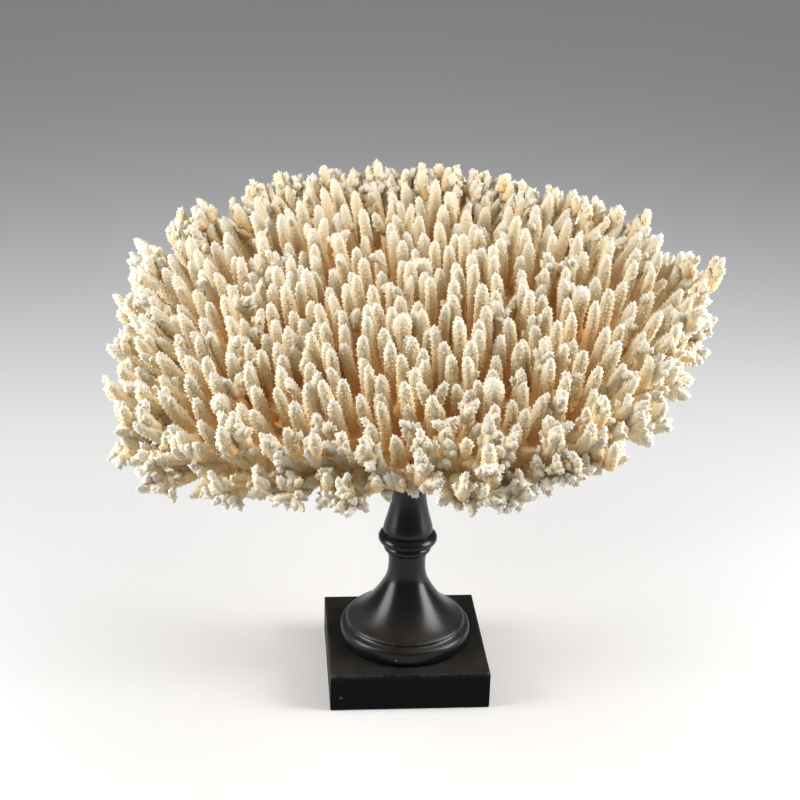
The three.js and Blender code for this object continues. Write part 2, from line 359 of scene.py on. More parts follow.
@dataclass
class FingerLayout:
    """Places the coral's fingers where its solids have them, and decides how each one ends."""

    form: CoralForm
    core_radius: float = 4.45
    jitter: float = 3.6
    rim_start: float = 0.79
    set_back: float = 21.0
    set_down: float = 0.22
    tip_reach: float = 0.985
    least_gap: float = 10.0
    most_between: int = 115
    first_between: int = 2000
    spot_count: int = 3400
    spot_spacing: float = 4.1
    between_size: Pair = (0.8, 0.18)
    first_lobe: int = 400
    lobe_start: float = 0.74
    lobe_sink: float = 6.0
    lobe_short: float = 3.5
    chosen: dict[FingerKind, tuple[int, ...]] = field(
        default_factory=lambda: {
            FingerKind.PLAIN: (261,),
            FingerKind.CLUBBED: (15, 144, 154, 232),
            FingerKind.FORKED: (10, 112, 153, 192, 237, 251, 254),
            FingerKind.KNOBBED: (193, 235, 298, 399),
            FingerKind.CLUSTERED: (137, 140, 167, 180, 222, 227, 248, 274, 277, 286, 295, 308),
        }
    )

    def kind_of(self, n: int, share: float, to_front: float) -> FingerKind:
        """Decides how a finger ends.

        Args:
            n: The finger's number.
            share: Its distance from the middle, as a share of the rim's radius.
            to_front: 1 at the front and 0 at the back.

        Returns:
            The kind, less often plain towards the front rim.
        """
        for kind, numbers in self.chosen.items():
            if n in numbers:
                return kind
        busy = share**3 * (0.3 + 0.7 * to_front)
        parts = (
            (FingerKind.FORKED, 0.05 + 0.08 * busy + 0.3 * smooth_step(0.68, 0.84, share)),
            (FingerKind.CLUSTERED, 0.015 + 0.3 * busy),
            (FingerKind.KNOBBED, 0.08 + 0.45 * busy),
            (FingerKind.CLUBBED, 0.012 * share),
        )
        draw = chance(n, Draw.KIND)
        for kind, part in parts:
            draw -= part
            if draw < 0:
                return kind
        return FingerKind.PLAIN

    def stand(self, n: int, x: float, y: float, to_front: float, size: float) -> Branchlet | None:
        """Stands a finger on the plate.

        Args:
            n: The finger's number.
            x: Its place to the right.
            y: Its place to the back.
            to_front: 1 at the front and 0 at the back.
            size: Its height against that of the solids' fingers.

        Returns:
            The finger, or None outside the rim.
        """
        f = self.form
        radius, angle = math.hypot(x, y), math.atan2(y, x)
        share = radius / f.rim(angle)
        if share > f.finger_reach:
            return None
        side_lean = math.radians(f.side_lean) * math.cos(angle)
        depth = f.back_lean + (f.front_lean - f.back_lean) * to_front
        depth_lean = math.radians(depth) * math.sin(angle)
        rim_lean = math.hypot(side_lean, depth_lean)
        lean = 0.05 + rim_lean * smooth_step(0.45, 0.95, share) + 0.07 * sway(n, Draw.LEAN)
        heading = math.atan2(depth_lean, side_lean) + 0.12 * sway(n, Draw.HEADING) * (1 - share)
        wave = 2.5 * math.sin(x / 47 + 0.6) * math.cos(y / 53) + 1.5 * math.sin((x - y) / 31)
        taller = f.back_height * (1 - to_front) * smooth_step(0.4, 0.85, share)
        length = f.finger_length * (1 + 0.13 * sway(n, Draw.LENGTH)) + wave + taller
        length *= 1 - f.front_shorter * to_front**3 * smooth_step(0.55, 0.85, share)
        girth = 1 + 0.12 * sway(n, Draw.GIRTH) + 0.12 * smooth_step(0.6, 0.9, share)
        room = f.root_radius * girth + f.gap + f.root_shift * smooth_step(0.3, 0.6, share)
        limb = -1
        if radius < f.hub_radius:
            radius, heading = min(radius, f.hub_radius - room), angle
        else:
            radius = max(radius, f.hub_radius + room)
            turn = (angle - f.limb_angle(0)) % (2 * math.pi)
            limb = math.floor(turn / f.limb_span)
            side = math.asin(min(1, room / radius))
            within = min(max(turn - limb * f.limb_span, side), f.limb_span - side)
            angle = f.limb_angle(limb) + within
        slimmer = 1 - 0.16 * smooth_step(0.66, 0.86, share) * (1 - to_front**2)
        # Fingers towards the left and right start higher on the colour ramp, so they are paler: painted
        # light from the side lamps.
        side_lit_paler = 0.34 * smooth_step(0.5, 0.85, share) * abs(math.cos(angle))
        back = self.set_back * smooth_step(0.74, 0.88, share)
        foot = polar(radius - back, angle, -self.set_down * back)
        tip = polar(radius, angle)
        tip += self.tip_reach * length * size * polar(math.sin(lean), heading, math.cos(lean))
        return Branchlet.between(
            n,
            foot,
            tip,
            self.core_radius * girth * (0.7 + 0.3 * size) * slimmer,
            kind=self.kind_of(n, share, to_front),
            limb=limb,
            outwards=share,
            low_rise=side_lit_paler + 0.2 * (share > self.rim_start),
            level_foot=share < self.rim_start,
            worn=0.7 * smooth_step(0.98, 0.996, chance(n, Draw.WEAR)),
            bend=1.6 * sway(n, Draw.BEND) - 3.5 * math.sin(lean),
        )

    def finger(self, n: int) -> Branchlet | None:
        """Works out a finger of the solids.

        Args:
            n: Its number, counted outwards from the middle.

        Returns:
            The finger, or None outside the rim.
        """
        bearing = n * GOLDEN_ANGLE
        even = self.form.finger_spacing * math.sqrt(n + 0.5)
        to_front = 0.5 - 0.5 * math.sin(bearing)
        further = (0.4 + 0.6 * to_front) * smooth_step(100, 230, even)
        spread = even + self.form.rim_spacing * further
        x = spread * math.cos(bearing) + self.jitter * sway(n, Draw.ACROSS)
        y = spread * math.sin(bearing) + self.jitter * sway(n, Draw.DEEP)
        return self.stand(n, x, y, to_front, 1.0)

    def fingers(self) -> list[Branchlet]:
        """Lists every finger of the solids and the shorter ones between them.

        Returns:
            The fingers of all limbs and of the trunk.
        """
        most = math.ceil((max(self.form.rim_radii) / self.form.finger_spacing) ** 2)
        fingers = [finger for finger in map(self.finger, range(most)) if finger]
        return fingers + self.between(fingers)

    def between(self, fingers: list[Branchlet]) -> list[Branchlet]:
        """Stands shorter fingers in the widest gaps between the others.

        Args:
            fingers: The fingers that already stand.

        Returns:
            The shorter ones.
        """
        index = np.arange(self.spot_count)
        radius = self.spot_spacing * np.sqrt(index + 0.5)
        bearing = index * GOLDEN_ANGLE
        spots = np.stack([radius * np.cos(bearing), radius * np.sin(bearing)], axis=-1)
        feet = np.array([finger.foot[:2] for finger in fingers])
        gaps = np.linalg.norm(spots[:, None] - feet[None], axis=-1).min(axis=1)
        rims = np.array([self.form.rim(math.atan2(y, x)) for x, y in spots])
        to_front = 0.5 - 0.5 * spots[:, 1] / np.maximum(radius, 1)
        gaps[radius > (0.87 - 0.16 * to_front) * rims] = 0
        shorter = []
        while len(shorter) < self.most_between and gaps.max() > self.least_gap:
            best = int(gaps.argmax())
            gaps[best] = 0
            size = drawn(self.between_size, best, Draw.SHORTER)
            finger = self.stand(self.first_between + best, *spots[best], to_front[best], size)
            if finger:
                shorter.append(finger)
                gaps = np.minimum(gaps, np.linalg.norm(spots - finger.foot[:2], axis=-1))
        return shorter

    def lobes(self, limb: int) -> list[Branchlet]:
        """Lists the stubby lobes that stand out of one limb's rim.

        Args:
            limb: The limb's number.

        Returns:
            Eight lobes, at the ends of the limb's last forks.
        """
        f = self.form
        lobes = []
        for place in range(1, 16, 2):
            n = limb * 16 + place
            angle = f.limb_angle(limb + place / 16)
            rim = f.rim(angle)
            reach = (f.lobe_reach + 0.04 * sway(n, Draw.LOBE_REACH)) * rim
            lift = f.lobe_rise * chance(n, Draw.LOBE_LIFT) - 4.5
            draw = chance(n, Draw.LOBE_KIND)
            kind, radius = FingerKind.LOBED, 5.2
            if draw > 0.42:
                kind, radius, lift = FingerKind.FORKED, 5.4, lift + 3
            if draw > 0.74:
                kind, radius, lift = FingerKind.CLUSTERED, 5.2, lift + 5
            lobe = Branchlet.between(
                self.first_lobe + n,
                polar(self.lobe_start * rim, angle, -self.lobe_sink),
                polar(reach - self.lobe_short, angle + 0.01 * sway(n, Draw.LOBE_ANGLE), lift),
                radius * (1 + 0.16 * sway(n, Draw.LOBE_RADIUS)),
                kind=kind,
                limb=limb,
                outwards=1.0,
                spread=0.0,
                low_rise=0.25,
                high_rise=0.9,
                worn=0.4 * smooth_step(0.8, 0.98, chance(n, Draw.LOBE_WEAR)),
                level_foot=False,
                bend=-2.5,
            )
            lobes.append(lobe)
        return lobes


@dataclass
class Skin:
    """Points, faces and surface values gathered for one piece of the coral."""

    placement: Array
    faces: Faces = field(default_factory=list)
    parts: dict[str, list[Array]] = field(default_factory=dict)
    count: int = 0

    def add(self, faces: Faces, **values: Array) -> None:
        """Adds a closed part.

        Args:
            faces: Its faces, as numbers of its own points.
            values: Its points, and at each the height on its finger, 0 at the plate and 1 at the
                tip, how thick the cups stand, how worn it is and where it grows.
        """
        self.faces.extend(tuple(i + self.count for i in face) for face in faces)
        for label, rows in values.items():
            self.parts.setdefault(label, []).append(rows)
        self.count += len(values["points"])

    def placed(self, points: Array) -> Array:
        """Takes points from the coral's frame to the object's."""
        return points @ self.placement[:3, :3].T + self.placement[:3, 3]

    def mesh(self, name: str) -> Mesh:
        """Makes the mesh in the object's frame, with its surface values as attributes."""
        values = {label: np.concatenate(rows) for label, rows in self.parts.items()}
        values["grow"] = values["grow"] @ self.placement[:3, :3].T
        return make_mesh(name, self.placed(values.pop("points")), self.faces, values)


@dataclass
class BranchletShaper:
    """Turns branchlets into lofted skin, with their forks, clubs and knobs."""

    skin: Skin
    lowest: Array
    highest: Array
    sides: int = 12
    stations: tuple[float, ...] = (
        -0.07, 0.0, 0.06, 0.15, 0.28, 0.42, 0.56, 0.68, 0.78, 0.86, 0.92, 0.965, 0.99,
    )
    first_knob: int = 5
    first_stub: int = 15
    lobe_knobs: int = 7
    tip_knobs: int = 2
    stub_knobs: int = 3
    lobe_span: Triple = (0.3, 0.86, 0.5)
    knobbed_span: Triple = (0.3, 0.8, 0.56)
    clustered_span: Triple = (0.36, 0.9, 0.64)
    tip_span: Triple = (0.25, 0.7, 0.62)
    nub_span: Triple = (0.5, 0.9, 0.6)
    stub_span: Triple = (0.3, 0.8, 0.62)
    tip_place: Pair = (0.3, 0.16)
    tip_length: Pair = (0.6, -0.16)
    knob_tilt: Pair = (0.6, 0.9)
    nub_length: Pair = (10.0, 6.0)
    nub_radius: Pair = (3.1, 0.9)
    nub_inset: float = 6.5
    stub_place: Pair = (0.45, 0.4)
    stub_lean: Pair = (0.15, 0.9)
    stub_length: Pair = (12.0, 11.0)
    stub_radius: float = 4.1
    stub_aside: float = 6.0
    sideways_bow: float = 1.2
    short_length: float = 20.0
    short_sides: int = 8
    short_stations: tuple[float, ...] = (0.0, 0.35, 0.6, 0.79, 0.91, 0.98)

    def girth(self, b: Branchlet, t: Array) -> tuple[Array, Array]:
        """Gives the radii along a branchlet.

        Args:
            b: The branchlet.
            t: Shares of its length.

        Returns:
            Its radius sideways and its radius up and down at each share.
        """
        if b.kind is FingerKind.LOBED:
            end = round_end(0.72, t)
            wide = b.radius * (1 + 0.85 * smooth_step(0.1, 0.75, t)) * end
            return wide, b.radius * (0.74 + 0.1 * np.sin(11 * t + b.n)) * end
        taper, power = 2.8, 0.44 + 0.2 * b.outwards**2
        if b.length < self.short_length:
            taper, power = 1.7, 0.46
        x = np.clip((1 - t) * b.length / min(taper * b.radius, 0.75 * b.length), 0, 1)
        tip = (1 - (1 - x) ** 2) ** power
        body = (1.1 + 0.08 * b.outwards - (0.18 + 0.1 * b.outwards) * t) * tip
        if b.kind is FingerKind.CLUBBED:
            body = (0.88 + 0.6 * smooth_step(0.42, 0.8, t)) * round_end(0.76, t)
        flare = b.spread * np.exp(-np.clip(t, -0.07, 1) / 0.07)
        radius = b.radius * (body + flare)
        return radius, radius

    def shape(self, b: Branchlet) -> None:
        """Adds a branchlet and whatever grows from it to the skin.

        Args:
            b: The branchlet.
        """
        if not b.level_foot:
            self.stubs(b)
        if b.kind is FingerKind.FORKED:
            self.fork(b)
            return
        draw = chance(b.n, Draw.KNOB_COUNT)
        if b.kind is FingerKind.LOBED:
            self.fringe(b)
            self.knobs(b, self.lobe_knobs, self.lobe_span)
        elif b.kind is FingerKind.KNOBBED:
            self.knobs(b, 1 + int((2 + 2 * b.outwards) * draw), self.knobbed_span)
        elif b.kind is FingerKind.CLUSTERED:
            self.knobs(b, 6 + int(4 * draw), self.clustered_span)
        self.loft(b)

    def fork(self, b: Branchlet) -> None:
        """Adds a finger that parts into two or three tips.

        Args:
            b: The finger.
        """
        tips = 2 + int(chance(b.n, Draw.TIP_COUNT) * (0.9 + 1.4 * b.outwards))
        kept = {"spread": b.spread, "level_foot": b.level_foot}
        self.loft(b.grown(0, (b.low_rise, 0.8), length=0.55 * b.length, **kept))
        across = unit(np.cross(b.direction, (math.cos(b.n), math.sin(b.n), 0.3)))
        if not b.level_foot:
            across = unit(np.cross(UP, b.direction))
        over = np.cross(b.direction, across)
        for tip in range(tips):
            n = b.n + tip
            turn = 2 * math.pi * tip / tips + 0.6 * sway(b.n, Draw.TIP_TURN)
            side = across * math.cos(turn) + over * math.sin(turn)
            tilt = 0.24 + (0.16 + 0.22 * b.outwards) * chance(n, Draw.TIP_TILT)
            part = b.grown(
                1 + tip,
                (0.4, 1.0),
                foot=b.at(drawn(self.tip_place, n, Draw.TIP_START)) + side * 0.35 * b.radius,
                direction=unit(b.direction + tilt * side),
                length=b.length * drawn(self.tip_length, n, Draw.TIP_LENGTH),
                radius=(0.86 - 0.12 * b.outwards) * b.radius,
            )
            self.loft(part)
            if b.outwards * chance(n, Draw.TIP_KNOBS) > 0.45:
                self.knobs(part, self.tip_knobs, self.tip_span)

    def knobs(self, b: Branchlet, count: int, span: Triple) -> None:
        """Adds small knobs to the sides of a branchlet.

        Args:
            b: The branchlet that carries them.
            count: How many there are.
            span: From which to which share of its length they start, and their radius against its.
        """
        low, high, size = span
        across = unit(np.cross(b.direction, (math.sin(b.n), math.cos(b.n), 0.4)))
        over = np.cross(b.direction, across)
        for knob in range(count):
            n = b.n + knob
            turn = 2.4 * knob + 0.8 * sway(n, Draw.KNOB_TURN) + b.n
            side = across * math.cos(turn) + over * math.sin(turn)
            share = low + (high - low) * (knob + chance(b.n + 3 * knob, Draw.KNOB_PLACE)) / count
            rise = b.low_rise + (b.high_rise - b.low_rise) * share
            part = b.grown(
                self.first_knob + knob,
                (rise, rise + 0.25),
                foot=b.at(share),
                direction=unit(side + drawn(self.knob_tilt, n, Draw.KNOB_TILT) * b.direction),
                length=b.radius * (1.8 + (0.4 + 0.7 * b.outwards) * chance(n, Draw.KNOB_LENGTH)),
                radius=size * b.radius,
            )
            self.loft(part)

    def fringe(self, b: Branchlet) -> None:
        """Adds the nubs around the outer edge of a lobe.

        Args:
            b: The lobe.
        """
        sideways = unit(np.cross(UP, b.direction))
        centre, ahead, aside = b.at(0.73), 0.27 * b.length, 1.75 * b.radius
        count = 4 + int(2.4 * chance(b.n, Draw.NUB_COUNT))
        for nub in range(count):
            n = b.n + nub
            turn = 1.2 * ((2 * nub + 1) / count - 1) + 0.14 * sway(n, Draw.NUB_TURN)
            out = b.direction * math.cos(turn) + sideways * math.sin(turn)
            edge = 1 / math.hypot(math.cos(turn) / ahead, math.sin(turn) / aside)
            part = b.grown(
                self.first_knob + nub,
                (0.5, 1.0),
                foot=centre + out * (edge - self.nub_inset),
                direction=unit(out + (0.15 + 0.45 * sway(n, Draw.NUB_RISE)) * UP),
                length=drawn(self.nub_length, n, Draw.NUB_LENGTH),
                radius=drawn(self.nub_radius, n, Draw.NUB_RADIUS),
                outwards=0.2,
            )
            self.loft(part)
            self.knobs(part, 1 + int(2.6 * chance(n, Draw.NUB_KNOBS)), self.nub_span)

    def stubs(self, b: Branchlet) -> None:
        """Adds the short fingers that stand on a lobe or on a finger near the rim.

        Args:
            b: The lobe or finger.
        """
        sideways = unit(np.cross(UP, b.direction))
        for stub in range(1 + int(2.4 * chance(b.n, Draw.STUB_COUNT))):
            n = b.n + stub
            foot = b.at(drawn(self.stub_place, n, Draw.STUB_PLACE))
            lean = drawn(self.stub_lean, n, Draw.STUB_LEAN)
            direction = UP + lean * b.direction + 0.3 * sway(n, Draw.STUB_TILT) * sideways
            part = b.grown(
                self.first_stub + stub,
                (0.25, 1.0),
                foot=foot + self.stub_aside * sway(n, Draw.STUB_ASIDE) * sideways,
                direction=unit(direction),
                length=drawn(self.stub_length, n, Draw.STUB_LENGTH),
                radius=self.stub_radius,
                outwards=0.5,
                worn=0.0,
            )
            self.loft(part)
            if chance(n, Draw.STUB_KNOBS) < 0.5:
                self.knobs(part, self.stub_knobs, self.stub_span)

    def inward(self, points: Array) -> Array:
        """Measures how far a branchlet has to move to stay inside the solids' box.

        Args:
            points: Its points.

        Returns:
            The shift.
        """
        turned = self.skin.placed(points)
        over = np.clip(turned.max(axis=0) - self.highest, 0, None)
        under = np.clip(self.lowest - turned.min(axis=0), 0, None)
        return (under - over) @ self.skin.placement[:3, :3]

    def loft(self, b: Branchlet) -> None:
        """Adds one closed, tapered, slightly bent tube to the skin.

        Args:
            b: The branchlet that it is.
        """
        t, sides, rough = np.array(self.stations), self.sides, 1.0
        if b.length < self.short_length:
            t, sides, rough = np.array(self.short_stations), self.short_sides, 1.7
        sideways = unit(np.cross(UP, b.direction))
        lift = np.cross(b.direction, sideways)
        bow = 1 - (2 * t - 1) ** 2
        centres = b.foot + np.outer(t * b.length, b.direction) + np.outer(b.bend * bow, lift)
        centres += np.outer(self.sideways_bow * sway(b.n, Draw.BOW) * bow, sideways)
        along = unit(np.gradient(centres, axis=0))
        if b.level_foot:
            blend = smooth_step(0.0, 0.3, t)[:, None]
            along = unit(along * blend + UP * (1 - blend))
        over = unit(np.cross(along, sideways))
        turn = 2 * math.pi * np.arange(sides) / sides
        uneven = 1 + 0.07 * rough * np.sin(2 * turn[None, :] + b.n + 3 * t[:, None])
        uneven += 0.05 * rough * np.sin(3 * turn[None, :] + 2.3 * b.n - 7 * t[:, None])
        wide, thick = (radius[:, None] * uneven for radius in self.girth(b, t))
        ring = tube_points(centres, wide, thick, sideways, over[:, None, :])
        points = np.concatenate([ring, [b.at(1.0)], [centres[0]]])
        share = np.concatenate([np.repeat(np.clip(t, 0, 1), sides), [1.0, 0.0]])
        points = points + np.outer(share**2, self.inward(points))
        self.skin.add(
            tube_faces(len(t), sides),
            points=points + self.inward(points),
            rise=b.low_rise + (b.high_rise - b.low_rise) * share,
            cover=smooth_step(0.0, 0.45 if b.level_foot else 0.25, share),
            worn=b.worn * smooth_step(0.5, 0.95, share),
            grow=np.concatenate([np.repeat(along, sides, axis=0), [b.direction, b.direction]]),
        )


@dataclass
class PlateShaper:
    """Shapes one limb's part of the plate, with the forked ribs on its underside."""

    form: CoralForm
    limb: int
    around: int = 64
    outward: int = 24
    valley_relief: float = 3.0
    last_fork: float = 0.9
    rib_halves: Triple = (10.0, 8.0, 6.5)
    edge_share: float = 0.825
    edge_scallop: float = 0.03
    top_sink: float = 1.2
    top_ripple: float = 0.8
    core_depth: float = 4.5
    deep_ripple: float = 0.5
    rise_grades: tuple[Triple, Triple] = ((0.06, 0.66, 0.86), (0.38, 0.2, 0.8))
    cover_grades: tuple[Triple, Triple] = ((0.12, 0.7, 0.7), (0.2, 0.6, 0.8))

    def ribs(self) -> list[tuple[Array, Array, float]]:
        """Lists the limb's ribs in plan, from the hub to the rim.

        Returns:
            The two ends and the half width of each rib.
        """
        f = self.form
        ribs = []
        starts = {0.5: polar(f.hub_radius, f.limb_angle(self.limb + 0.5))[:2]}
        for level, share in enumerate((*f.fork_shares, self.last_fork)):
            ends = {}
            for place, start in starts.items():
                for side in (-1, 1):
                    child = place + side * 0.25 / 2**level
                    angle = f.limb_angle(self.limb + child)
                    ends[child] = polar(share * f.rim(angle), angle)[:2]
                    ribs.append((start, ends[child], self.rib_halves[level]))
            starts = ends
        return ribs

    def relief(self, x: Array, y: Array) -> Array:
        """Gives how far the ribs stand out below the plate.

        Args:
            x: Positions in plan, to the right.
            y: Positions in plan, to the back.

        Returns:
            The height of the rounded ribs at each position.
        """
        best = np.zeros_like(x)
        for start, end, half in self.ribs():
            along = end - start
            t = ((x - start[0]) * along[0] + (y - start[1]) * along[1]) / (along @ along)
            t = np.clip(t, 0, 1)
            away = np.hypot(x - start[0] - t * along[0], y - start[1] - t * along[1])
            best = np.maximum(best, np.sqrt(np.clip(1 - (away / half) ** 2, 0, 1)))
        return self.form.rib_height * best

    def faces(self) -> Faces:
        """Lists the faces of the closed plate.

        Returns:
            Faces for the points of the upper side, row after row outwards, then of the lower side.
        """
        rows, steps = self.outward, self.around
        row, layer = steps + 1, (steps + 1) * (rows + 1)
        faces = []
        for j in range(rows):
            for i in range(steps):
                a = j * row + i
                faces.append((a, a + row, a + row + 1, a + 1))
                faces.append((a + layer, a + 1 + layer, a + row + 1 + layer, a + row + layer))
            a, b = j * row, j * row + steps
            faces.append((a, a + layer, a + row + layer, a + row))
            faces.append((b, b + row, b + row + layer, b + layer))
        for i in range(steps):
            a, b = i, rows * row + i
            faces.append((a, a + 1, a + 1 + layer, a + layer))
            faces.append((b, b + layer, b + 1 + layer, b + 1))
        return faces

    def shape(self, skin: Skin) -> None:
        """Adds the limb's closed part of the plate to the skin.

        Args:
            skin: The skin of the limb.
        """
        f = self.form
        steps, rows = self.around, self.outward
        angles = np.array([f.limb_angle(self.limb + i / steps) for i in range(steps + 1)])
        scallop = np.cos(2 * math.pi * 8 * np.arange(steps + 1) / steps)
        nibble = 0.009 * np.sin(61 * angles + 1) + 0.008 * np.sin(97 * angles + 2)
        edge = np.array([f.rim(a) for a in angles]) * (
            self.edge_share - self.edge_scallop * scallop + 0.5 * nibble
        )
        share = (np.arange(rows + 1) / rows)[:, None]
        inner = f.hub_radius - 2 * f.gap
        radius = inner + (edge[None, :] - inner) * share
        x, y = radius * np.cos(angles), radius * np.sin(angles)
        ripple = np.sin(x / 7.3 + 1.1 * np.sin(y / 9)) * np.cos(y / 6.1) + 0.6 * np.sin((x + y) / 3.9)
        top = -self.top_sink + self.top_ripple * ripple
        depth = f.thickness(radius) - self.valley_relief + self.relief(x, y)
        depth += self.deep_ripple * np.sin(radius / 3.1) * np.sin(17 * angles)
        rim = 1 - smooth_step(0.88, 1.0, share)
        middle = top - self.core_depth
        top = middle + (top - middle) * (0.25 + 0.75 * rim)
        under = middle + (-depth - middle) * (0.2 + 0.8 * rim)
        sheets = [np.stack([x, y, z], axis=-1).reshape(-1, 3) for z in (top, under)]
        outward = np.stack([np.cos(angles), np.sin(angles), np.zeros(steps + 1)], axis=-1)
        grow = np.tile(outward, (rows + 1, 1)) + 0.3 * UP
        # Colour ramp values: the plate's top takes the dark warm end, partly its own tone and partly
        # painted shade between the fingers, and turns paler towards the edge; the underside sits at a mid
        # tone.
        rise, cover = (
            np.concatenate([
                np.repeat(low + more * smooth_step(start, 1, share[:, 0]), steps + 1)
                for low, more, start in grades
            ])
            for grades in (self.rise_grades, self.cover_grades)
        )
        skin.add(
            self.faces(),
            points=np.concatenate(sheets),
            rise=rise,
            cover=cover,
            worn=np.zeros(len(rise)),
            grow=np.concatenate([grow, grow]),
        )


@dataclass
class TrunkShaper:
    """Shapes the coral's trunk from the column's cap up to the middle of the plate."""

    form: CoralForm
    column_top: float = 186.3
    stations: tuple[float, ...] = (0.0, 0.3, 0.6, 0.85, 1.0)
    radii: tuple[float, ...] = (19.6, 19.0, 21.5, 31.0, 38.4)
    foot_shares: Triple = (1.0, 0.82, 0.64)
    head_heights: Pair = (-50.0, -42.0)
    top_heights: Triple = (-20.0, -2.0, -1.4)
    top_radii: Triple = (38.4, 38.2, 20.0)
    sides: int = 64
    fluting: float = 0.055
    rings: int = 15

    def shape(self, skin: Skin) -> None:
        """Adds the closed trunk, fluted by the limbs that leave it, to the skin.

        Args:
            skin: The skin of the trunk.
        """
        back = np.linalg.inv(skin.placement)
        foot = (back @ np.array([0, 0, self.column_top, 1]))[:3]
        level = unit(back[:3, :3] @ UP)
        marks = [foot * share for share in self.foot_shares] + [z * UP for z in self.head_heights]
        t = np.linspace(0, 1, self.rings)
        centres = np.stack([np.interp(t, self.stations, line) for line in np.transpose(marks)], axis=-1)
        radii = np.interp(t, self.stations, self.radii)
        for _ in range(2):
            for line in (radii, centres):
                line[1:-1] = 0.25 * line[:-2] + 0.5 * line[1:-1] + 0.25 * line[2:]
        centres = np.concatenate([centres, [z * UP for z in self.top_heights]])
        radii = np.concatenate([radii, self.top_radii])
        rows, sides = len(radii), self.sides
        share = np.linspace(0, 1, rows)
        blend = smooth_step(0.0, 0.5, share)[:, None]
        normal = unit(level * (1 - blend) + UP * blend)
        across = unit(np.cross(BACK, normal))
        over = np.cross(normal, across)
        turn = 2 * math.pi * np.arange(sides) / sides
        flutes = np.cos(8 * (turn - math.radians(self.form.first_limb + 22.5)))
        depth = self.fluting * smooth_step(0.1, 0.7, share)[:, None]
        depth[-3:] = 0
        wobble = 0.03 * np.sin(3 * turn + 1.0) + 0.02 * np.sin(5 * turn)
        fluted = radii[:, None] * (1 + depth * flutes + wobble * (depth > 0))
        ring = tube_points(centres, fluted, fluted, across[:, None, :], over[:, None, :])
        rise = np.full(len(ring) + 2, 0.42)
        rise[-2 - 2 * sides:] = 0.02
        cover = np.full(len(rise), 0.5)
        cover[:sides] = 0.0
        skin.add(
            tube_faces(rows, sides),
            points=np.concatenate([ring, [centres[-1]], [centres[0]]]),
            rise=rise,
            cover=cover,
            worn=np.zeros(len(rise)),
            grow=np.concatenate([np.repeat(normal, sides, axis=0), [normal[-1], normal[0]]]),
        )


class NodeSketch:
    """Short ways to add and join nodes in one tree."""

    def __init__(self, tree: NodeTree) -> None:
        """Keeps the tree that nodes are added to."""
        self.tree = tree

    @classmethod
    def group(cls, name: str, kind: str, inputs: dict[str, str], outputs: dict[str, str]) -> "NodeSketch":
        """Starts a node group.

        Args:
            name: The group's name.
            kind: The type of its tree.
            inputs: What each input holds, by its name.
            outputs: What each output holds, by its name.

        Returns:
            The sketch of its tree.
        """
        tree = bpy.data.node_groups.new(name, kind)
        for way, sockets in (("INPUT", inputs), ("OUTPUT", outputs)):
            for label, held in sockets.items():
                tree.interface.new_socket(label, in_out=way, socket_type=f"NodeSocket{held}")
        return cls(tree)

    def plug(self, socket: NodeSocket, value: object) -> None:
        """Links an output to a socket, or sets the socket's own value."""
        if isinstance(value, NodeSocket):
            self.tree.links.new(value, socket)
        else:
            socket.default_value = (*value, 1.0) if socket.type == "RGBA" else value

    def node(self, kind: str, inputs: dict[int | str, object] | None = None, **settings: object) -> object:
        """Adds a node.

        Args:
            kind: The node's type name.
            inputs: Numbers, colours or sockets, by the input's name or place.
            settings: Its own settings, such as its operation.

        Returns:
            Its outputs.
        """
        node = self.tree.nodes.new(kind)
        for name, value in settings.items():
            setattr(node, name, value)
        for name, value in (inputs or {}).items():
            self.plug(node.inputs[name], value)
        return node.outputs

    def math(self, operation: str, a: object, b: object, clamp: bool = False) -> object:
        """Adds a Math node and returns its value; clamp keeps it from 0 to 1."""
        return self.node("ShaderNodeMath", {0: a, 1: b}, operation=operation, use_clamp=clamp)[0]

    def add(self, a: object, b: object, clamp: bool = False) -> object:
        """Adds two values."""
        return self.math("ADD", a, b, clamp)

    def times(self, a: object, b: object, clamp: bool = False) -> object:
        """Multiplies two values."""
        return self.math("MULTIPLY", a, b, clamp)

    def noise(self, vector: object, scale: object, detail: float = 3.0, rough: float = 0.55) -> object:
        """Adds a Noise texture and returns its value."""
        inputs = {"Vector": vector, "Scale": scale, "Detail": detail, "Roughness": rough}
        return self.node("ShaderNodeTexNoise", inputs)["Fac"]

    def blend(self, factor: object, a: object, b: object, mode: str = "MIX") -> object:
        """Mixes a second colour into a first and returns the colour."""
        inputs = {"Factor": factor, 6: a, 7: b}
        return self.node("ShaderNodeMix", inputs, data_type="RGBA", blend_type=mode)[2]

    def step(self, value: object, low: float, high: float) -> object:
        """Adds a smooth step of a value from 0 at low to 1 at high."""
        inputs = {"Value": value, "From Min": low, "From Max": high}
        return self.node("ShaderNodeMapRange", inputs, interpolation_type="SMOOTHSTEP")["Result"]

    def vector(self, operation: str, a: object, b: object = (0, 0, 0)) -> object:
        """Adds a Vector Math node and returns its outputs."""
        return self.node("ShaderNodeVectorMath", {0: a, 1: b}, operation=operation)

    def attribute(self, name: str) -> object:
        """Adds a reading of a mesh attribute and returns its value."""
        return self.node("ShaderNodeAttribute", attribute_name=name)["Fac"]

    def ramp(self, value: object, stops: dict[float, Triple]) -> object:
        """Adds a colour ramp.

        Args:
            value: Where on the ramp the colour is read.
            stops: Colours by their place.

        Returns:
            Its colour output.
        """
        node = self.tree.nodes.new("ShaderNodeValToRGB")
        items = node.color_ramp.elements
        while len(items) < len(stops):
            items.new(0.5)
        for item, (place, colour) in zip(items, stops.items()):
            item.position = place
            item.color = (*colour, 1.0)
        self.plug(node.inputs["Fac"], value)
        return node.outputs["Color"]


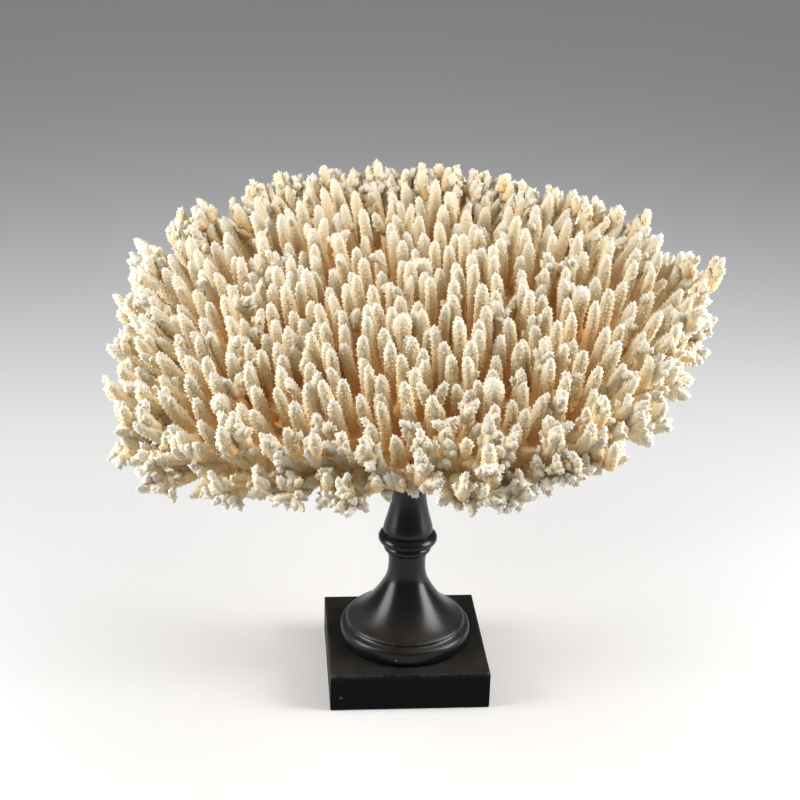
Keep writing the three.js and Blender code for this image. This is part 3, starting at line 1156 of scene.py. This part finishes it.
@dataclass(frozen=True)
class CupScatter:
    """Covers a coral skin with its small pointed cups, by Geometry Nodes; sizes in metres."""

    spacing: float = 0.0021
    density: float = 520000.0
    cup_radius: float = 0.00094
    cup_height: float = 0.0019
    cup_sides: int = 5
    lean_to_tip: float = 0.75
    sunk: float = 0.00035
    sizes: Pair = (0.7, 1.15)

    def tree(self) -> NodeTree:
        """Builds the node tree.

        Returns:
            A tree with named inputs for the cups' sizes, spacing and seed, and for the finish.
        """
        numbers = ("Spacing", "Density", "Cup Radius", "Cup Height", "Lean To Tip")
        inputs = {"Geometry": "Geometry", **dict.fromkeys(numbers, "Float")}
        inputs |= {"Cup Sides": "Int", "Seed": "Int", "Finish": "Material"}
        sketch = NodeSketch.group("coral_cups", "GeometryNodeTree", inputs, {"Geometry": "Geometry"})
        source = sketch.node("NodeGroupInput")
        skin, height, seed = (source[name] for name in ("Geometry", "Cup Height", "Seed"))
        named = "GeometryNodeInputNamedAttribute"
        cover = sketch.node(named, {"Name": "cover"}, data_type="FLOAT")["Attribute"]
        grow = sketch.node(named, {"Name": "grow"}, data_type="FLOAT_VECTOR")["Attribute"]
        scatter = sketch.node(
            "GeometryNodeDistributePointsOnFaces",
            {
                "Mesh": skin, "Distance Min": source["Spacing"], "Density Max": source["Density"],
                "Density Factor": cover, "Seed": seed,
            },
            distribute_method="POISSON",
        )
        lean = {0: grow, "Scale": source["Lean To Tip"]}
        tipward = sketch.node("ShaderNodeVectorMath", lean, operation="SCALE")[0]
        pointing = sketch.vector("ADD", scatter["Normal"], tipward)[0]
        turned = sketch.node("FunctionNodeAlignRotationToVector", {"Vector": pointing}, axis="Z")[0]
        cone_sizes = {
            "Vertices": source["Cup Sides"], "Radius Bottom": source["Cup Radius"],
            "Radius Top": 0.0, "Depth": height,
        }
        cone = sketch.node("GeometryNodeMeshCone", cone_sizes, fill_type="NONE")["Mesh"]
        level = sketch.node("ShaderNodeSeparateXYZ", {0: sketch.node("GeometryNodeInputPosition")[0]})["Z"]
        tooth = {"Geometry": cone, "Name": "tooth", "Value": sketch.math("DIVIDE", level, height)}
        cup = sketch.node("GeometryNodeStoreNamedAttribute", tooth, data_type="FLOAT", domain="POINT")[0]
        cup = sketch.node("GeometryNodeTransform", {0: cup, "Translation": (0, 0, -self.sunk)})[0]
        draw = {2: self.sizes[0], 3: self.sizes[1], "Seed": seed}
        size = sketch.node("FunctionNodeRandomValue", draw, data_type="FLOAT")[1]
        planting = {"Points": scatter["Points"], "Instance": cup, "Rotation": turned, "Scale": size}
        cups = sketch.node("GeometryNodeInstanceOnPoints", planting)[0]
        join = sketch.tree.nodes.new("GeometryNodeJoinGeometry")
        for part in (skin, cups):
            sketch.plug(join.inputs[0], part)
        whole = sketch.node("GeometryNodeRealizeInstances", {0: join.outputs[0]})[0]
        whole = sketch.node("GeometryNodeSetShadeSmooth", {0: whole})[0]
        whole = sketch.node("GeometryNodeSetMaterial", {0: whole, "Material": source["Finish"]})[0]
        sketch.node("NodeGroupOutput", {0: whole})
        return sketch.tree

    def cover(self, base: Mesh, tree: NodeTree, finish: Material, seed: int) -> Object:
        """Covers a skin with cups.

        Args:
            base: The skin's mesh.
            tree: The node tree.
            finish: The coral's material.
            seed: Seed for where the cups stand.

        Returns:
            The piece, an object with a plain mesh and no modifier.
        """
        piece = add_object(base.name, base)
        modifier = piece.modifiers.new("cups", "NODES")
        modifier.node_group = tree
        values = {**vars(self), "finish": finish, "seed": seed}
        for item in tree.interface.items_tree:
            name = item.name.lower().replace(" ", "_")
            if item.in_out == "INPUT" and name in values:
                modifier[item.identifier] = values[name]
        bpy.context.view_layer.update()
        graph = bpy.context.evaluated_depsgraph_get()
        mesh = bpy.data.meshes.new_from_object(piece.evaluated_get(graph))
        piece.modifiers.clear()
        piece.data = mesh
        mesh.name = piece.name
        return piece


@dataclass(frozen=True)
class GrainGroup:
    """Fine porous grain that the coral and the painted wood both have."""

    finer: float = 3.7
    pore_share: float = 0.6

    def build(self) -> NodeTree:
        """Builds the group.

        Returns:
            A group that takes a vector, a scale and a strength, and gives a height.
        """
        inputs = {"Vector": "Vector", "Scale": "Float", "Strength": "Float"}
        sketch = NodeSketch.group("fine_grain", "ShaderNodeTree", inputs, {"Height": "Float"})
        vector, scale, strength = list(sketch.node("NodeGroupInput"))[:3]
        coarse = sketch.noise(vector, scale, 4.0, 0.65)
        reading = {"Vector": vector, "Scale": sketch.times(scale, self.finer)}
        pores = sketch.node("ShaderNodeTexVoronoi", reading, feature="F1")["Distance"]
        height = sketch.add(coarse, sketch.times(pores, self.pore_share))
        sketch.node("NodeGroupOutput", {"Height": sketch.times(height, strength)})
        return sketch.tree


@dataclass(frozen=True)
class DustGroup:
    """Settled dust and rubbed edges."""

    speck_scale: float = 14.0
    speck_share: float = 0.15
    dusty: float = 0.5
    rubbed: float = 0.2

    def build(self) -> NodeTree:
        """Builds the group.

        Returns:
            A group that lays dust and wear over a colour, and gives the new colour and roughness.
        """
        inputs = {"Vector": "Vector", **dict.fromkeys(("Color", "Dust Color", "Wear Color"), "Color")}
        inputs |= dict.fromkeys(("Dust", "Wear", "Scale", "Roughness"), "Float")
        outputs = {"Color": "Color", "Roughness": "Float"}
        sketch = NodeSketch.group("dust_and_wear", "ShaderNodeTree", inputs, outputs)
        source = sketch.node("NodeGroupInput")
        vector, scale = source["Vector"], source["Scale"]
        patches = sketch.noise(vector, scale, 6.0, 0.6)
        specks = sketch.noise(vector, sketch.times(scale, self.speck_scale), 3.0, 0.6)
        lying = sketch.step(sketch.add(patches, sketch.times(specks, self.speck_share)), 0.25, 0.95)
        bare = sketch.step(sketch.add(specks, sketch.times(patches, 0.5)), 0.62, 0.86)
        dust = sketch.times(source["Dust"], lying, clamp=True)
        wear = sketch.times(source["Wear"], bare, clamp=True)
        colour = sketch.blend(dust, source["Color"], source["Dust Color"])
        colour = sketch.blend(wear, colour, source["Wear Color"])
        rough = sketch.add(source["Roughness"], sketch.times(dust, self.dusty))
        rough = sketch.add(rough, sketch.times(wear, self.rubbed), clamp=True)
        sketch.node("NodeGroupOutput", {"Color": colour, "Roughness": rough})
        return sketch.tree


@dataclass
class FinishSketch:
    """One material on its way: its nodes, and where a pattern on it is read."""

    name: str

    def __post_init__(self) -> None:
        """Starts the material."""
        self.material = bpy.data.materials.new(self.name)
        self.material.use_nodes = True
        self.nodes = NodeSketch(self.material.node_tree)
        self.place = self.nodes.node("ShaderNodeTexCoord")["Object"]

    def bump(self, grain: NodeTree, scale: float, strength: float, relief: Pair) -> object:
        """Adds the grain as a bump.

        Args:
            grain: The grain group.
            scale: How fine it is.
            strength: How strong the grain is.
            relief: Strength and depth of the bump.

        Returns:
            The normal.
        """
        inputs = {"Vector": self.place, "Scale": scale, "Strength": strength}
        height = self.nodes.node("ShaderNodeGroup", inputs, node_tree=grain)["Height"]
        inputs = {"Strength": relief[0], "Distance": relief[1], "Height": height}
        return self.nodes.node("ShaderNodeBump", inputs)["Normal"]

    def done(self, **inputs: object) -> Material:
        """Sets the shader's inputs, named with _ for a space, and gives the material."""
        shader = self.material.node_tree.nodes["Principled BSDF"]
        for name, value in inputs.items():
            self.nodes.plug(shader.inputs[name.replace("_", " ")], value)
        return self.material


@dataclass(frozen=True)
class CoralFinish:
    """Porous ivory skeleton, tan to orange-brown down between the fingers, partly its own tone and partly
    painted shade and warm glow; painted shade at the feet of its cups.
    """

    deep: Triple = (0.72, 0.42, 0.16)
    low: Triple = (0.75, 0.52, 0.25)
    middle: Triple = (0.74, 0.615, 0.40)
    high: Triple = (0.70, 0.635, 0.48)
    tip: Triple = (0.68, 0.66, 0.605)
    worn: Triple = (0.46, 0.40, 0.29)
    roughness: float = 0.85
    blotch_scale: float = 38.0
    blotchiness: float = 0.22
    cup_foot: float = 0.86
    cup_paler: float = 0.30
    cup_powers: Pair = (0.6, 1.7)
    grain_scale: float = 420.0
    relief: Pair = (0.5, 0.0004)

    def build(self, grain: NodeTree) -> Material:
        """Makes the coral's material.

        Args:
            grain: The grain group.

        Returns:
            The material.
        """
        finish = FinishSketch("coral_skeleton")
        nodes = finish.nodes
        blotches = nodes.noise(finish.place, self.blotch_scale, 4.0, 0.6)
        # The colour follows the height on the fingers: ivory at the tips, turning tan and orange-brown
        # down towards the plate, partly the skeleton's own tone and partly painted shade and warm glow
        # between the fingers.
        shifted = nodes.add(nodes.attribute("rise"), nodes.times(blotches, self.blotchiness))
        shifted = nodes.math("SUBTRACT", shifted, self.blotchiness / 2, clamp=True)
        stops = {0.0: self.deep, 0.24: self.low, 0.54: self.middle, 0.82: self.high, 1.0: self.tip}
        colour = nodes.ramp(shifted, stops)
        # Painted shade among the cups: the colour is darker and warmer at each cup's foot and paler
        # towards its tip.
        shade = nodes.times(nodes.attribute("tooth"), self.cup_paler)
        shade = nodes.add(shade, self.cup_foot, clamp=True)
        red, blue = (nodes.math("POWER", shade, power) for power in self.cup_powers)
        tones = nodes.node("ShaderNodeCombineColor", {0: red, 1: shade, 2: blue})[0]
        colour = nodes.blend(1.0, colour, tones, "MULTIPLY")
        worn = nodes.times(nodes.attribute("worn"), nodes.step(blotches, 0.3, 0.6))
        return finish.done(
            Base_Color=nodes.blend(worn, colour, self.worn),
            Roughness=self.roughness,
            Normal=finish.bump(grain, self.grain_scale, 1.0, self.relief),
        )


@dataclass(frozen=True)
class BlackWoodFinish:
    """Satin black paint on turned wood, dusty where it faces up and rubbed along its edges."""

    name: str
    paint: Triple = (0.003, 0.003, 0.004)
    dust: Triple = (0.024, 0.022, 0.019)
    bare: Triple = (0.07, 0.066, 0.06)
    roughness: float = 0.24
    shine: float = 0.26
    scale: float = 26.0
    grain_scale: float = 160.0
    relief: Pair = (0.12, 0.0006)
    chip: Triple = (0.0, 0.0, 0.0)
    chip_size: Triple = (0.001, 0.001, 0.001)
    chip_colour: Triple = (0.10, 0.045, 0.006)
    chip_raggedness: float = 900.0
    chip_reach: float = 1.5

    def build(self, grain: NodeTree, dust: NodeTree) -> Material:
        """Makes the wood's material.

        Args:
            grain: The grain group.
            dust: The dust and wear group.

        Returns:
            The material.
        """
        finish = FinishSketch(self.name)
        nodes, place = finish.nodes, finish.place
        inputs = {
            "Vector": place, "Color": self.paint, "Dust Color": self.dust, "Wear Color": self.bare,
            "Dust": nodes.attribute("dust"), "Wear": nodes.attribute("edge"),
            "Scale": self.scale, "Roughness": self.roughness,
        }
        cover = nodes.node("ShaderNodeGroup", inputs, node_tree=dust)
        away = nodes.vector("SUBTRACT", place, self.chip)[0]
        away = nodes.vector("DIVIDE", away, self.chip_size)[0]
        ragged = nodes.add(nodes.vector("LENGTH", away)["Value"], nodes.noise(place, self.chip_raggedness))
        chipped = nodes.math("LESS_THAN", ragged, self.chip_reach)
        return finish.done(
            Base_Color=nodes.blend(chipped, cover["Color"], self.chip_colour),
            Roughness=cover["Roughness"],
            Specular_IOR_Level=self.shine,
            Normal=finish.bump(grain, self.grain_scale, 0.5, self.relief),
        )


@dataclass(frozen=True)
class FloorFinish:
    """Plain pale studio floor."""

    colour: Triple = (0.58, 0.58, 0.577)
    dimmest: float = 0.97

    def build(self) -> Material:
        """Makes the floor's material.

        Returns:
            The material.
        """
        finish = FinishSketch("pale_floor")
        tone = finish.nodes.noise(finish.place, 2.0, 2.0)
        dimmer = tuple(self.dimmest * c for c in self.colour)
        return finish.done(Base_Color=finish.nodes.blend(tone, self.colour, dimmer), Roughness=0.7)


@dataclass
class Coral:
    """The grown coral: its trunk and its eight limbs."""

    form: CoralForm = field(default_factory=CoralForm)
    cups: CupScatter = field(default_factory=CupScatter)
    margin: float = 1.7
    first_seed: int = 2

    def build(self, finish: Material) -> None:
        """Builds every piece of the coral, each dressed and riding on the body.

        Args:
            finish: The coral's material.
        """
        layout = FingerLayout(self.form)
        fingers = layout.fingers()
        lowest, highest = (np.array(corner) / METRES for corner in CAD_BOX)
        tree = self.cups.tree()
        for limb in range(-1, self.form.limb_count):
            skin = Skin(self.form.placement())
            shaper = BranchletShaper(skin, lowest + self.margin, highest - self.margin)
            if limb < 0:
                TrunkShaper(self.form).shape(skin)
                name, node = "trunk_skin", "coral_trunk"
            else:
                PlateShaper(self.form, limb).shape(skin)
                name, node = f"limb_skin_{limb + 1}", f"coral_limb_{limb + 1}"
                for lobe in layout.lobes(limb):
                    shaper.shape(lobe)
            for finger in fingers:
                if finger.limb == limb:
                    shaper.shape(finger)
            piece = self.cups.cover(skin.mesh(name), tree, finish, self.first_seed + limb)
            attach(piece, "root")
            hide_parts(node)
            piece.data.calc_loop_triangles()
            LOG.info("%s: %d triangles", name, len(piece.data.loop_triangles))


def make_wood(
    name: str, node: str, ring: Array, sides: int, dust: Array, edge: Array,
    finish: Material,
) -> None:
    """Makes a wooden piece that takes the place of a solid.

    Args:
        name: The piece's name.
        node: The solid that it stands for.
        ring: The points of its rings, in millimetres, from below up.
        sides: How many points each ring has.
        dust: How much dust lies at each point, then at the middle of the top and of the bottom.
        edge: How rubbed each of them is.
        finish: Its material.
    """
    ends = [[0, 0, ring[-1, 2]], [0, 0, ring[0, 2]]]
    faces = tube_faces(len(ring) // sides, sides)
    mesh = make_mesh(name, np.concatenate([ring, ends]), faces, {"dust": dust, "edge": edge})
    mesh.set_sharp_from_angle(angle=math.radians(50))
    mesh.materials.append(finish)
    piece = add_object(name, mesh)
    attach(piece, "root")
    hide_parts(node)
    LOG.info("%s: %d faces", name, len(faces))


@dataclass
class TurnedColumn:
    """The column, one turning: foot disc, bell, neck, two beads, vase and cap."""

    steps: int = 112
    bend_span: Pair = (0.35, 0.8)
    rubbed_span: Pair = (24.0, 40.0)
    dusty_span: Pair = (24.0, 36.0)
    profile: tuple[Pair, ...] = (
        (49.7, 30.3), (50.45, 31.2), (50.55, 33.0), (50.3, 36.5), (49.9, 40.0), (49.4, 41.7),
        (48.5, 42.6), (47.2, 43.1), (46.1, 43.6), (45.3, 44.4), (45.0, 45.2), (45.4, 45.9),
        (45.3, 46.7), (44.4, 47.5), (42.6, 48.5), (41.0, 49.4), (37.4, 51.9), (34.0, 55.0),
        (30.8, 58.2), (28.0, 61.5), (25.6, 64.5), (23.5, 67.6), (21.4, 70.6), (19.6, 73.7),
        (17.9, 76.7), (16.4, 79.7), (15.4, 82.6), (14.7, 85.6), (14.3, 88.6), (14.1, 92.5),
        (14.1, 96.0), (14.4, 99.5), (14.9, 102.4), (15.2, 103.9), (16.2, 104.3), (17.4, 105.2),
        (18.05, 106.6), (18.05, 108.3), (17.4, 109.8), (16.8, 110.6), (17.2, 111.3), (19.4, 111.5),
        (21.3, 112.4), (22.3, 114.0), (22.35, 115.7), (21.7, 117.4), (20.4, 118.8), (18.9, 119.6),
        (18.2, 120.1), (18.5, 120.9), (18.9, 122.4), (18.5, 125.0), (17.2, 129.8), (15.8, 134.8),
        (14.7, 139.6), (13.7, 144.5), (13.0, 150.0), (12.75, 156.0), (13.1, 162.0), (14.4, 168.0),
        (16.3, 172.6), (18.9, 175.6), (20.9, 177.3), (21.4, 179.0), (21.4, 183.0), (21.0, 185.0),
        (19.9, 185.95),
    )

    def build(self, finish: Material) -> None:
        """Turns the column, dusty where it faces up and rubbed where it bends.

        Args:
            finish: The wood's material.
        """
        profile, steps = np.array(self.profile), self.steps
        slope = unit(np.gradient(profile, axis=0))
        bend = np.linalg.norm(np.gradient(slope, axis=0), axis=1)
        sharp = smooth_step(*self.bend_span, bend) * smooth_step(*self.rubbed_span, profile[:, 0])
        lying = np.clip(-slope[:, 0], 0, 1) ** 2 * smooth_step(*self.dusty_span, profile[:, 0])
        radii = np.repeat(profile[:, :1], steps, axis=1)
        ring = tube_points(np.outer(profile[:, 1], UP), radii, radii, RIGHT, BACK)
        dust = np.concatenate([np.repeat(lying, steps), [1.0, 0.0]])
        edge = np.concatenate([np.repeat(sharp, steps), [0.0, 0.0]])
        make_wood("column_turning", "turned_column", ring, steps, dust, edge, finish)


@dataclass
class Plinth:
    """The square board under the column, its edges rounded and a little rubbed."""

    side: float = 120.0
    height: float = 30.0
    rounding: float = 1.3
    cells: int = 44
    arc_steps: int = 3
    rubbed_width: float = 2.2
    top_insets: tuple[float, ...] = (2.5, 4.0, 8.0, 16.0, 28.0, 42.0, 56.0)

    def build(self, finish: Material) -> None:
        """Builds the board, dusty on top and rubbed at its corners.

        Args:
            finish: The wood's material.
        """
        half = self.side / 2
        ring = np.concatenate([self.ring(half - back, z) for z, back in self.levels()])
        points = np.concatenate([ring, [[0, 0, self.height], [0, 0, 0.0]]])
        both, reach = np.sort(np.abs(points[:, :2]), axis=1).T
        near_side = smooth_step(half - self.rubbed_width, half - 0.2, reach)
        near_top = smooth_step(self.height - self.rubbed_width, self.height - 0.2, points[:, 2])
        corner = smooth_step(half - 3, half - 0.6, both)
        edge = np.clip(near_side * near_top * (0.3 + 0.9 * corner), 0, 1)
        dust = near_top * (1 - 0.6 * near_side)
        make_wood("plinth_board", "plinth", ring, 4 * self.cells, dust, edge, finish)

    def levels(self) -> list[Pair]:
        """Lists the board's rings from below up.

        Returns:
            The height of each and how far it stands in from the side.
        """
        r = self.rounding
        turns = [math.pi / 2 * k / self.arc_steps for k in range(self.arc_steps + 1)]
        lower = [(r - r * math.cos(turn), r - r * math.sin(turn)) for turn in turns]
        middle = [(z, 0.0) for z in np.linspace(r, self.height - r, 9)[1:-1]]
        upper = [(self.height - z, back) for z, back in reversed(lower)]
        top = [(self.height, back) for back in self.top_insets]
        return lower + middle + upper + top

    def ring(self, half: float, z: float) -> Array:
        """Gives the points of a square ring at one height, anticlockwise.

        Args:
            half: Half its side.
            z: Its height.

        Returns:
            The points, one a row.
        """
        along = np.linspace(-half, half, self.cells, endpoint=False)
        flat, level = np.full(self.cells, half), np.full(self.cells, z)
        sides = [(along, -flat), (flat, along), (-along, flat), (-flat, -along)]
        return np.concatenate([np.stack([x, y, level], axis=-1) for x, y in sides])


@dataclass(frozen=True)
class SoftLight:
    """One soft box, aimed at the coral."""

    name: str
    place: Triple
    power: float
    width: float = 0.52
    height: float = 1.1

    def build(self, target: Vector) -> None:
        """Hangs the light.

        Args:
            target: The point that it faces.
        """
        light = bpy.data.lights.new(self.name, "AREA")
        light.shape = "RECTANGLE"
        light.size, light.size_y = self.width, self.height
        light.energy = self.power
        lamp = add_object(self.name, light)
        lamp.location = self.place
        lamp.rotation_euler = (target - lamp.location).to_track_quat("-Z", "Y").to_euler()


@dataclass(frozen=True)
class Studio:
    """Floor, lights and camera."""

    lens: float = 74.16
    eye: Triple = (-0.1107, -1.1085, 0.6949)
    pitch: float = 22.78
    roll: float = 1.73
    yaw: float = -5.24
    sky: Triple = (0.86, 0.87, 0.90)
    sky_strength: float = 0.24
    ceiling_strength: float = 0.42
    ceiling_width: float = 110.0
    floor_half: float = 9.0
    target: Triple = (0.0, 0.0, 0.27)
    lights: tuple[SoftLight, ...] = (
        SoftLight("left_box", (-0.95, -0.16, 0.63), 21.5),
        SoftLight("right_box", (0.95, -0.20, 0.63), 25.5),
    )

    def build(self) -> None:
        """Builds the studio and sets the scene's camera."""
        scene = bpy.context.scene
        scene.view_settings.view_transform = "Standard"
        scene.world = bpy.data.worlds.new("studio")
        scene.world.use_nodes = True
        sky = scene.world.node_tree.nodes["Background"]
        sky.inputs["Color"].default_value = (*self.sky, 1.0)
        sky.inputs["Strength"].default_value = self.sky_strength
        for light in self.lights:
            light.build(Vector(self.target))
        ceiling = bpy.data.lights.new("ceiling", "SUN")
        ceiling.energy = self.ceiling_strength
        ceiling.angle = math.radians(self.ceiling_width)
        add_object("ceiling", ceiling).location = (0, 0, 3)
        h = self.floor_half
        mesh = bpy.data.meshes.new("studio_floor")
        mesh.from_pydata([(-h, -h, 0), (h, -h, 0), (h, h, 0), (-h, h, 0)], [], [(0, 1, 2, 3)])
        mesh.materials.append(FloorFinish().build())
        floor = add_object("studio_floor", mesh)
        self.camera()

    def camera(self) -> None:
        """Sets the camera at the photographed angle."""
        data = bpy.data.cameras.new("camera")
        data.lens = self.lens
        data.sensor_width = 36.0
        data.sensor_fit = "HORIZONTAL"
        data.clip_end = 60.0
        camera = add_object("camera", data)
        turned = Matrix.Translation(self.eye)
        for degrees, axis in ((self.yaw, "Z"), (90 - self.pitch, "X"), (self.roll, "Z")):
            turned @= Matrix.Rotation(math.radians(degrees), 4, axis)
        camera.matrix_world = turned
        bpy.context.scene.camera = camera


def main() -> None:
    """Builds the studio, the coral and the pedestal in order."""
    logging.basicConfig(level=logging.INFO, format="%(message)s")
    Studio().build()
    grain, dust = GrainGroup().build(), DustGroup().build()
    Coral().build(CoralFinish().build(grain))
    column = BlackWoodFinish(
        "column_paint",
        chip=(-0.0106, -0.0492, 0.0357),
        chip_size=(0.0007, 0.0007, 0.0007),
        chip_colour=(0.15, 0.14, 0.11),
    )
    board = BlackWoodFinish(
        "plinth_paint",
        roughness=0.45,
        shine=0.05,
        chip=(-0.0521, -0.0600, 0.0111),
        chip_size=(0.0016, 0.0016, 0.0009),
    )
    TurnedColumn().build(column.build(grain, dust))
    Plinth().build(board.build(grain, dust))


if __name__ == "__main__":
    main()
